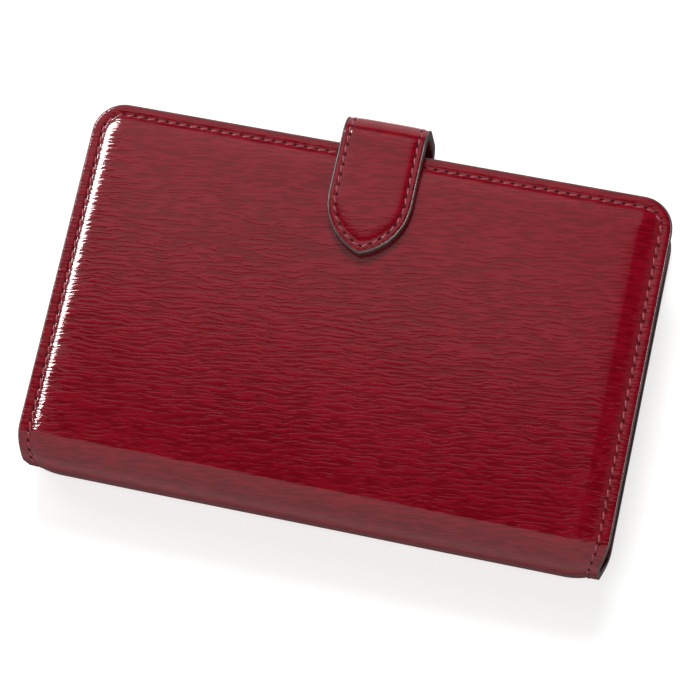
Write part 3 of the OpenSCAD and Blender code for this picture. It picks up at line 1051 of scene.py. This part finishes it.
for piece, nodes in ((upperLeather, ["tongue_leather", "strap_upper_fold"]), (upperLining, ["tongue_lining"]),
                     (upperEdge, ["tongue_edge_paint"]), (upperStitching, ["tongue_stitching"])):
    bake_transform(piece)
    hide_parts(*nodes)
for piece in (lowerLeather, lowerLining, lowerEdge, lowerStitching):
    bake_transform(piece)
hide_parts("strap_anchor", "strap_lower_fold", "strap_bridge")
print("strap made")


# Pockets

inside = {
    "crease": 1.5 * mm,                          # pressed line beside a turned edge
    "creaseDepth": 0.14 * mm,
    "creaseWide": 0.3 * mm,
    "edgeRound": 0.16 * mm,
    "seam": 2.4 * mm,
    "pitch": 2.9 * mm,
    "noteLeather": 0.7 * mm,
    "pouchCorner": 4 * mm,
    "pouchRings": (0.4, 1.5, 2.0, 2.4, 2.8, 3.6),            # distances in from the edge, in mm
    "pouchCutsAlong": (4.5, 8, 14, 22, 34, 48, 60),
    "pouchCutsDeep": (4.5, 8, 14, 22, 32),
    "pouchGroove": 0.2 * mm,
    "pouchWave": 0.12 * mm,
    "gusset": 0.5 * mm,
    "pouchCrown": 1.1 * mm,
    "pouchCrownRun": 26 * mm,
    "pleat": 2.6 * mm,
}


def creasedCard(name, low, high):
    # a thin sheet whose shown face is below, with a pressed line inside its turned edges
    obj = addPlane(name, low.xy, high.xy, low.z)
    edit(obj)
    deep, wide = inside["creaseDepth"], inside["creaseWide"]
    for thickness, rise in ((inside["crease"], 0), (wide, deep), (wide, -deep)):
        pick(obj, "FACE", lambda face: abs(middle(face).x - (low.x + high.x) / 2) < 1 * mm
             and abs(middle(face).y - (low.y + high.y) / 2) < 1 * mm)
        bpy.ops.mesh.inset(thickness=thickness, depth=0)
        bpy.ops.transform.translate(value=(0, 0, rise))
    cutAcross(obj, steps(low.x, high.x, 8)[1:-1], 0)
    cutAcross(obj, steps(low.y, high.y, 6)[1:-1], 1)
    bpy.ops.mesh.select_all(action="SELECT")
    bpy.ops.mesh.flip_normals()
    done()
    addModifier(obj, "SOLIDIFY", thickness=high.z - low.z, offset=-1)
    softEdges(obj, inside["edgeRound"], 2)
    smooth(obj, 40)
    paintWith(obj, "pocket_leather")
    return obj


def pathThrough(points):
    legs = [(a, b, (b - a).length) for a, b in zip(points, points[1:])]

    def at(run):
        for a, b, length in legs:
            if run <= length:
                way = b - a
                return Vector((*(a + way * run / length), 0)), math.atan2(way.y, way.x)
            run -= length
        return Vector((*points[-1], 0)), 0
    return at, sum(length for _, _, length in legs)


def panelSeam(name, points, z, down=False):
    at, length = pathThrough([Vector(p) for p in points])
    row = sew(name, at, length, inside["pitch"], 0.02 * mm)
    if down:
        turnOver(row, 0)
    moveAll(row, lambda p: Vector((p.x, p.y, p.z + z)))
    return row


noteLow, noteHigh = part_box("bill_pocket_panel")


def notePanel(name):
    obj = addPlane(name, noteLow.xy, noteHigh.xy, noteHigh.z)
    edit(obj)
    bpy.ops.mesh.select_all(action="SELECT")
    bpy.ops.mesh.inset(thickness=1.3 * mm, depth=0)
    bpy.ops.mesh.inset(thickness=inside["creaseWide"], depth=-inside["creaseDepth"])
    bpy.ops.mesh.inset(thickness=inside["creaseWide"], depth=inside["creaseDepth"])
    pick(obj, "EDGE", lambda edge: edge.is_boundary and middle(edge).y < noteHigh.y - 1 * mm)
    bpy.ops.mesh.extrude_region_move(TRANSFORM_OT_translate={"value": (0, 0, noteLow.z - noteHigh.z)})
    done()
    outwards(obj)
    addModifier(obj, "SOLIDIFY", thickness=inside["noteLeather"], offset=-1)
    softEdges(obj, inside["edgeRound"], 2)
    smooth(obj, 40)
    paintWith(obj, "pocket_leather")
    return obj


for i in range(1, 6):
    cardLow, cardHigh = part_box(f"card_panel_{i}")
    panel = creasedCard(f"cardPanel{i}", cardLow, cardHigh)
    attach(panel, "front_cover")
    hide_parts(f"card_panel_{i}")
inset = inside["seam"] + inside["crease"]
leftX, rightX, lowY, highY = cardLow.x + 2 * mm, cardHigh.x - inset, cardLow.y + inset, cardHigh.y - inset
cardSeam = panelSeam("cardStitching", [(leftX, highY), (rightX, highY), (rightX, lowY), (leftX, lowY)],
                     cardLow.z, down=True)
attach(cardSeam, "front_cover")

notePocket = notePanel("notePocketPanel")
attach(notePocket, "back_cover")
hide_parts("bill_pocket_panel")
seamX, seamY = noteHigh.x - 3.1 * mm, noteLow.y + 1 * mm
noteSeam = panelSeam("notePocketStitching", [(-seamX, noteHigh.y - 2 * mm), (-seamX, seamY), (seamX, seamY),
                                             (seamX, noteHigh.y - 2 * mm)], noteHigh.z)
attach(noteSeam, "back_cover")

pouchLow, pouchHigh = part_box("coin_pouch_upper_wall")
underLow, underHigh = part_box("coin_pouch_lower_wall")


def roundedPlane(name, low, high):
    # a flat panel with its two corners at the spine's side rounded
    obj = addPlane(name, low, high)
    edit(obj)
    pick(obj, "VERT", lambda v: v.co.y < low[1] + 1 * mm)
    bpy.ops.mesh.bevel(offset=inside["pouchCorner"], segments=8, affect="VERTICES")
    return obj


def pouchWall(name, low, high, up, slot, crownHeight):
    z = high.z if up > 0 else low.z
    obj = roundedPlane(name, low.xy, high.xy)
    addRings(obj, inside["pouchRings"], lambda face: abs(middle(face).x) < 5 * mm and face.calc_area() > 2e-3)
    half = high.x
    cutAcross(obj, [side * (half - cut * mm) for cut in inside["pouchCutsAlong"] for side in (-1, 1)] + [0], 0)
    cutAcross(obj, [edge + way * cut * mm for cut in inside["pouchCutsDeep"]
                    for edge, way in ((low.y, 1), (high.y, -1))], 1)
    done()

    def puffed(p):
        d = min(half - abs(p.x), p.y - low.y, high.y - p.y)
        t = limited((d - inside["seam"]) / inside["pouchCrownRun"])
        groove = inside["pouchGroove"] * math.exp(-((d - inside["seam"]) / (0.5 * mm)) ** 2)
        lift = crownHeight * (1 - (1 - t) ** 2) - groove
        lift -= inside["pouchGroove"] * max(0, 1 - d / (0.6 * mm)) ** 2
        lift += inside["pouchWave"] * t * noise.noise(Vector((p.x * 40, p.y * 40, z * 100)))
        return Vector((p.x, p.y, lift))
    moveAll(obj, puffed)
    rounded(obj)
    outwards(obj)
    addModifier(obj, "SOLIDIFY", thickness=high.z - low.z, offset=-1)
    if up < 0:
        turnOver(obj, 0)
    moveAll(obj, lambda p: Vector((p.x, p.y, p.z + z)))
    smooth(obj, 50)
    paintWith(obj, slot)
    return obj


def pouchGusset(name):
    # a band round three sides, folded inwards along its middle
    low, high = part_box("coin_pouch_gusset")
    obj = roundedPlane(name, low.xy, (high.x, high.y + 3 * mm))
    cutAway(obj, (0, high.y, 0), (0, 1, 0))
    cutAcross(obj, steps(low.y + 6 * mm, high.y, 6)[:-1], 1)
    cutAcross(obj, steps(low.x + 6 * mm, high.x - 6 * mm, 8), 0)
    pick(obj, "FACE", everything)
    bpy.ops.mesh.delete(type="ONLY_FACE")
    corner = inside["pouchCorner"] + 0.1 * mm

    def isSpare(edge):
        # all that isn't the outline's three closed sides
        centre, (one, other) = middle(edge), (vertex.co for vertex in edge.verts)
        atMouth = one.y > high.y - 0.1 * mm and other.y > high.y - 0.1 * mm
        within = not (abs(centre.x) > high.x - corner or centre.y < low.y + corner)
        across = isCrosswise(edge) and centre.y > low.y + 0.1 * mm
        along = abs(one.x - other.x) < tiny and abs(centre.x) < high.x - 0.1 * mm
        return atMouth or within or across or along
    pick(obj, "EDGE", isSpare)
    bpy.ops.mesh.delete(type="EDGE")
    rise, rows = high.z - low.z, 6
    for _ in range(rows):
        bpy.ops.mesh.select_all(action="DESELECT")
        shape = bmesh.from_edit_mesh(obj.data)
        topZ = max(v.co.z for v in shape.verts)
        pick(obj, "VERT", lambda v: v.co.z > topZ - tiny)
        bpy.ops.mesh.extrude_region_move(TRANSFORM_OT_translate={"value": (0, 0, rise / rows)})
    done()

    def folded(p):
        share = p.z / rise
        draw = inside["pleat"] * (1 - abs(2 * share - 1)) ** 1.2
        side = limited((high.y - p.y) / (8 * mm))
        x = p.x - math.copysign(draw * side, p.x) * (1 if abs(p.x) > high.x - 6 * mm else abs(p.x) / high.x)
        y = p.y + (draw if p.y < low.y + corner else 0)
        return Vector((x, y, low.z + p.z))
    moveAll(obj, folded)
    outwards(obj)
    rounded(obj)
    addModifier(obj, "SOLIDIFY", thickness=inside["gusset"], offset=-1)
    smooth(obj, 60)
    paintWith(obj, "lining")
    return obj


upperWall = pouchWall("coinPouchUpperWall", pouchLow, pouchHigh, 1, "pocket_leather", inside["pouchCrown"])
lowerWall = pouchWall("coinPouchLowerWall", underLow, underHigh, -1, "lining", 0)
gusset = pouchGusset("coinPouchGusset")
sideX = pouchHigh.x - inside["seam"]
lowY, highY = pouchLow.y + inside["seam"], pouchHigh.y - inside["seam"]
pouchSeam = panelSeam("coinPouchStitching", [(-sideX, highY), (-sideX, lowY), (sideX, lowY), (sideX, highY),
                                             (-sideX, highY)], pouchHigh.z - 0.1 * mm)
for piece, node in ((upperWall, "coin_pouch_upper_wall"), (lowerWall, "coin_pouch_lower_wall"),
                    (gusset, "coin_pouch_gusset"), (pouchSeam, None)):
    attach(piece, "back_cover")
    if node:
        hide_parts(node)


zipper = {
    "tapeCuts": (0.08, 0.3, 0.42, 0.55, 0.8, 0.92),          # shares of its height
    "tapeRidge": 0.25,                           # share of its thickness
    "tapeWave": 0.05 * mm,
    "tapeRound": 0.1 * mm,
    "weld": 0.002 * mm,
    "bevels": {"zip_slider": 0.08, "zip_puller": 0.2, "zip_stops": 0.2, "snap_stud": 0.12,
               "snap_socket": 0.12, "zip_teeth_lower": 0.12, "zip_teeth_upper": 0.12},   # in mm
}


def zipTape(name, node):
    low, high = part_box(node)
    obj = addPlane(name, (low.x, low.z), (high.x, high.z))
    edit(obj)
    cutAcross(obj, [low.z + (high.z - low.z) * cut for cut in zipper["tapeCuts"]], 1)
    cutAcross(obj, steps(low.x, high.x, 30)[1:-1], 0)
    done()
    fat = high.y - low.y
    ridge = lambda z: zipper["tapeRidge"] * fat * math.sin(math.pi * (z - low.z) / (high.z - low.z))
    wave = lambda p: zipper["tapeWave"] * noise.noise(Vector((p.x * 60, p.y * 200, 0)))
    moveAll(obj, lambda p: Vector((p.x, low.y + 0.7 * fat + ridge(p.y) + wave(p), p.y)))
    addModifier(obj, "SOLIDIFY", thickness=fat * 0.7, offset=0)
    softEdges(obj, zipper["tapeRound"], 1)
    outwards(obj)
    smooth(obj, 40)
    paintWith(obj, "zip_tape")
    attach(obj, "back_cover")
    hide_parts(node)


zipTape("zipTapeLower", "zip_tape_lower")
zipTape("zipTapeUpper", "zip_tape_upper")
for name, width in zipper["bevels"].items():
    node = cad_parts[name]
    weld = node.modifiers.new("weld", "WELD")
    weld.merge_threshold = zipper["weld"]
    soft = node.modifiers.new("bevel", "BEVEL")
    soft.width, soft.segments, soft.limit_method = width * mm, 2, "ANGLE"
    soft.angle_limit = math.radians(50)
print("pockets made")


# Camera

view = {"azimuth": math.radians(9), "elevation": math.radians(-11.5), "roll": math.radians(12.6),
        "distance": 0.694, "lens": 130.8,
        "aim": Vector((-0.0007, -0.0014, 0.012))}


def addCamera():
    a, e, roll = view["azimuth"], view["elevation"], view["roll"]
    back = Vector((math.sin(a) * math.cos(e), math.sin(e), math.cos(a) * math.cos(e)))
    right = Vector((math.cos(a), 0, -math.sin(a)))
    up = back.cross(right)
    turnedRight = right * math.cos(roll) + up * math.sin(roll)
    turnedUp = up * math.cos(roll) - right * math.sin(roll)
    bpy.ops.object.camera_add(location=view["aim"] + back * view["distance"])
    camera = bpy.context.object
    camera.data.lens = view["lens"]
    camera.data.clip_start, camera.data.clip_end = 0.01, 20
    camera.matrix_world = Matrix.Translation(camera.location) @ Matrix(
        (turnedRight, turnedUp, back)).transposed().to_4x4()
    bpy.context.scene.camera = camera


addCamera()


# Studio

studio = {
    "front": 0.85,                               # how bright each part of the surroundings is
    "horizon": 0.85,
    "dark": 0.02,
    "softbox": 0.7,
    "softboxEnd": 1.25,                          # times as bright at its left end
    "side": 0.2,
    "floorGlow": 0.61,
    "strip": {"place": (-0.7, 0.39, 0.68), "size": (0.6, 0.22), "power": 16},
    "key": {"place": (-0.12, 0.92, 0.95), "size": (0.5, 0.5), "power": 16},
    "aim": (0, 0, 0.01),
}


def addFloor():
    bpy.ops.object.select_all(action="DESELECT")
    bpy.ops.mesh.primitive_plane_add(size=6, location=(0, 0, -0.05 * mm))
    floor = bpy.context.object
    floor.name = "floor"

    def shader(wire, place):
        return {"Base Color": (0.5, 0.5, 0.5, 1), "Roughness": 0.6, "Emission Color": (1, 1, 0.99, 1),
                "Emission Strength": studio["floorGlow"]}
    floor.data.materials.append(newMaterial("paleFloor", shader))
    floor.visible_glossy = False


def addLight(name, place, size, power):
    bpy.ops.object.light_add(type="AREA", location=place)
    light = bpy.context.object
    light.name = name
    light.data.shape = "RECTANGLE"
    light.data.size, light.data.size_y = size
    light.data.energy = power
    light.visible_camera = False
    light.rotation_euler = (Vector(studio["aim"]) - Vector(place)).to_track_quat("-Z", "Y").to_euler()
    return light


def addWorld():
    world = bpy.data.worlds.new("studio")
    bpy.context.scene.world = world
    world.use_nodes = True
    wire = Wire(world.node_tree)
    ray = wire.make("ShaderNodeTexCoord", out=0)
    x = wire.make("ShaderNodeSeparateXYZ", {}, {0: ray}, 0)
    y = wire.make("ShaderNodeSeparateXYZ", {}, {0: ray}, 1)
    z = wire.make("ShaderNodeSeparateXYZ", {}, {0: ray}, 2)
    ground = z.clamp(-1.0, -0.2, 0.09, 1)
    front = y.clamp(-0.02, 0.06, studio["front"], 0) * ground
    horizon = z.clamp(0.15, 0.5, studio["horizon"], 0) * ground
    box = y.clamp(0.18, 0.21) * y.clamp(0.7, 0.85, 1, 0) * x.clamp(-0.1, 0.05, 1, 0)
    bright = box * x.clamp(-0.4, 0.0, studio["softbox"] * studio["softboxEnd"], studio["softbox"])
    side = x.clamp(0.3, 0.6, 0, studio["side"])
    lit = wire.sum("MAXIMUM", wire.sum("MAXIMUM", front, horizon), side)
    total = wire.sum("MAXIMUM", lit, bright + studio["dark"])
    background = world.node_tree.nodes["Background"]
    background.inputs["Color"].default_value = (1, 1, 1, 1)
    world.node_tree.links.new(total.socket, background.inputs["Strength"])


addFloor()
addWorld()
strip = addLight("leftStrip", **studio["strip"])
strip.visible_diffuse = False
key = addLight("key", **studio["key"])
key.visible_glossy = False
bpy.context.scene.view_settings.view_transform = "Standard"

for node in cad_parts.values():
    own = [s.material.name.split(".")[0] for s in node.material_slots if s.material]
    for slotOf in node.material_slots:
        slotOf.link = "OBJECT"
        slotOf.material = materials[own[0]]

bpy.data.objects.remove(stitchModel)
